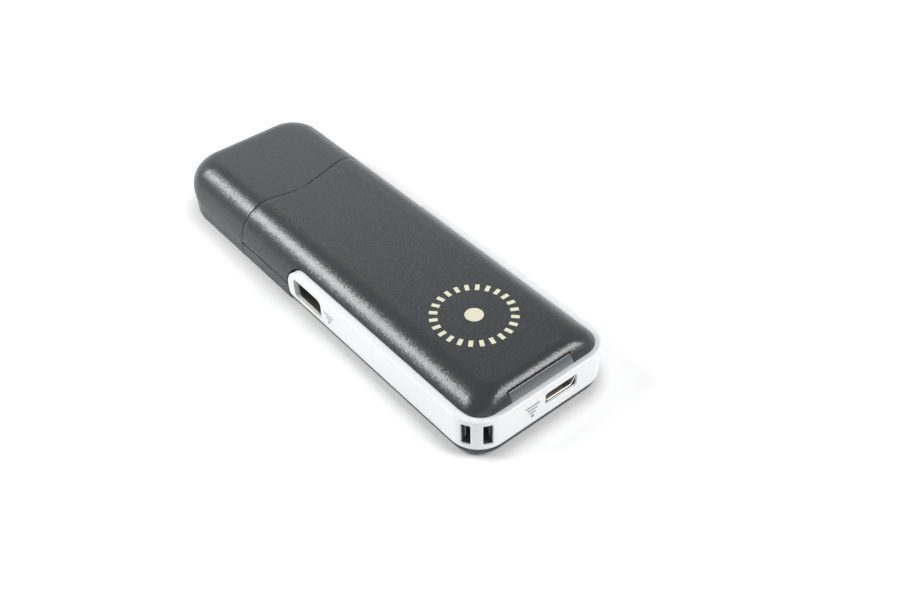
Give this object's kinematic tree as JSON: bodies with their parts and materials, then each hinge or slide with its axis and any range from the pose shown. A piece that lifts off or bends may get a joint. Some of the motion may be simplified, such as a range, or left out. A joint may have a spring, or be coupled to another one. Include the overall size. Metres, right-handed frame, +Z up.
{
  "type": "stick computer",
  "caption": "Pocket stick computer: a rounded black case with a white side band, a video plug under a pull-off cap, side ports, a card slot, a power button and a strap post.",
  "frame": {"origin": "middle of the underside, on the surface that the stick lies on, at half its length with the cap on", "axes": "+X to the side with the card slot and the power button, +Y towards the video plug and its cap, +Z up through the marked top"},
  "size_m": [0.032, 0.097, 0.012],
  "materials": {
    "shell_black": "glossy black with a fine sparkle",
    "band_white": "glossy white",
    "window_smoke": "smoky, clear",
    "mark_cream": "matt print",
    "button_black": "glossy black",
    "collar_black": "satin",
    "shell_steel": "tinned steel",
    "contact_gold": "gold plated",
    "port_black": "moulded",
    "port_beige": "moulded",
    "board_green": "solder mask",
    "chip_black": "moulded",
    "pad_grey": "soft",
    "sink_aluminium": "blasted",
    "ceramic_tan": "fired",
    "ferrite_grey": "sintered",
    "led_clear": "clear",
    "screw_steel": "blackened"
  },
  "bodies": {
    "stick": {"top_cover": "shell_black", "bottom_cover": "shell_black", "side_band": "band_white", "light_window": "window_smoke", "top_mark": "mark_cream", "plug_collar": "collar_black", "plug_shell": "shell_steel", "plug_insulator": "port_black", "plug_contacts": "contact_gold", "main_board": "board_green", "processor": "chip_black", "thermal_pad": "pad_grey", "heat_sink": "sink_aluminium", "memory_chips": "chip_black", "flash_chip": "chip_black", "power_chip": "chip_black", "wireless_module": "board_green", "module_shield": "shell_steel", "chip_antenna": "ceramic_tan", "clock_crystal": "shell_steel", "power_coils": "ferrite_grey", "capacitors": "ceramic_tan", "status_led": "led_clear", "mini_port_shell": "shell_steel", "mini_port_tongue": "port_black", "mini_port_contacts": "contact_gold", "micro_port_shell": "shell_steel", "micro_port_tongue": "port_beige", "micro_port_contacts": "contact_gold", "card_socket_base": "port_black", "card_socket_cover": "shell_steel", "card_contacts": "contact_gold", "switch_body": "port_black", "case_screws": "screw_steel"},
    "cap": {"cap": "shell_black"},
    "button": {"power_button": "button_black", "switch_plunger": "port_beige"}
  },
  "joints": [
    {"name": "cap_slide", "type": "slide", "parent": "stick", "child": "cap", "axis": [0, 1, 0], "range_m": [0, 0.024]},
    {"name": "button_press", "type": "slide", "parent": "stick", "child": "button", "axis": [-1, 0, 0], "range_m": [0, 0.00025], "stiffness_N_per_m": 1500, "springref_m": -0.0004}
  ]
}
